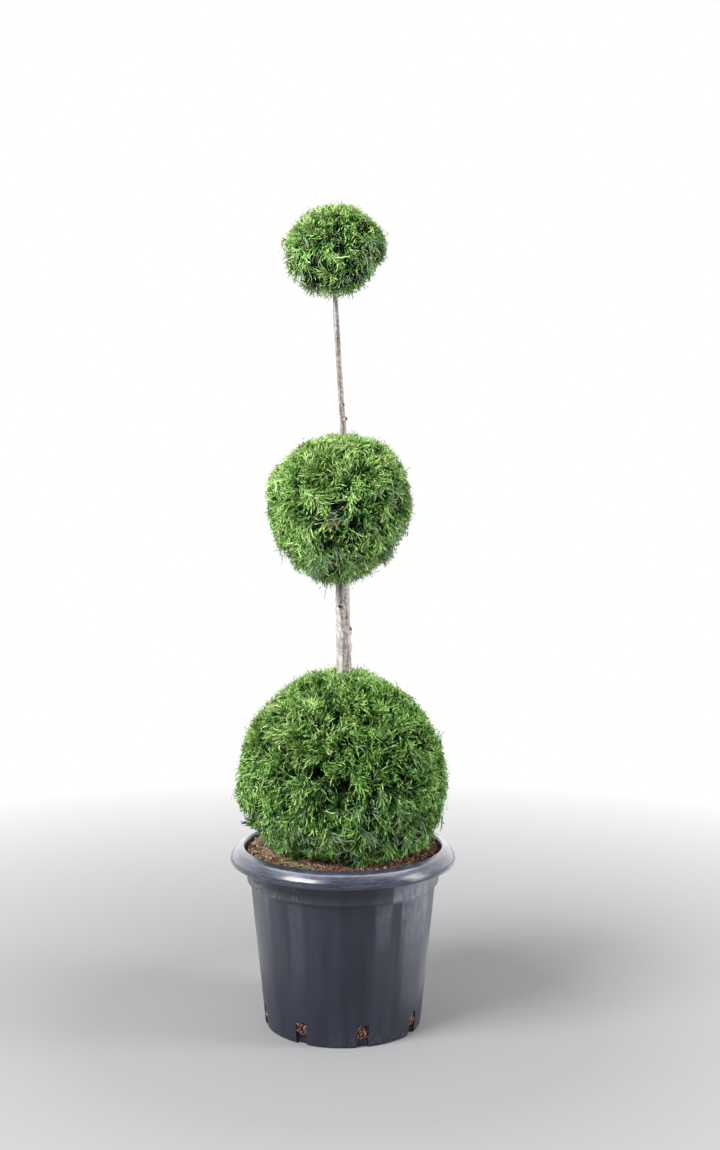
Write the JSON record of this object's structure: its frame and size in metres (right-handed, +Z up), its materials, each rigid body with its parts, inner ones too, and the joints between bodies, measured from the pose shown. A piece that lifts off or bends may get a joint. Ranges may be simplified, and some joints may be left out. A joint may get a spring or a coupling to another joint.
{
  "type": "potted thuja topiary",
  "caption": "Conifer clipped into balls of falling size along a bare upright stem, in a round black nursery pot with a rolled rim and notched foot.",
  "frame": {"origin": "on the ground, at the centre under the pot's foot", "axes": "+Z up along the stem, -Y to the front that the picture shows, +X to the picture's right"},
  "size_m": [0.406, 0.406, 1.4769],
  "materials": {
    "pot_plastic": "smooth moulded black plastic, soft sheen, lightly scuffed",
    "compost": "damp brown coir and bark compost",
    "bark": "pale grey-brown bark in long upright strips",
    "foliage": "flat scaly sprays, fresh green with lighter tips"
  },
  "bodies": {
    "root": {"pot": "pot_plastic", "soil": "compost", "trunk": "bark", "ball_low": "foliage", "ball_middle": "foliage", "ball_top": "foliage"}
  },
  "joints": []
}
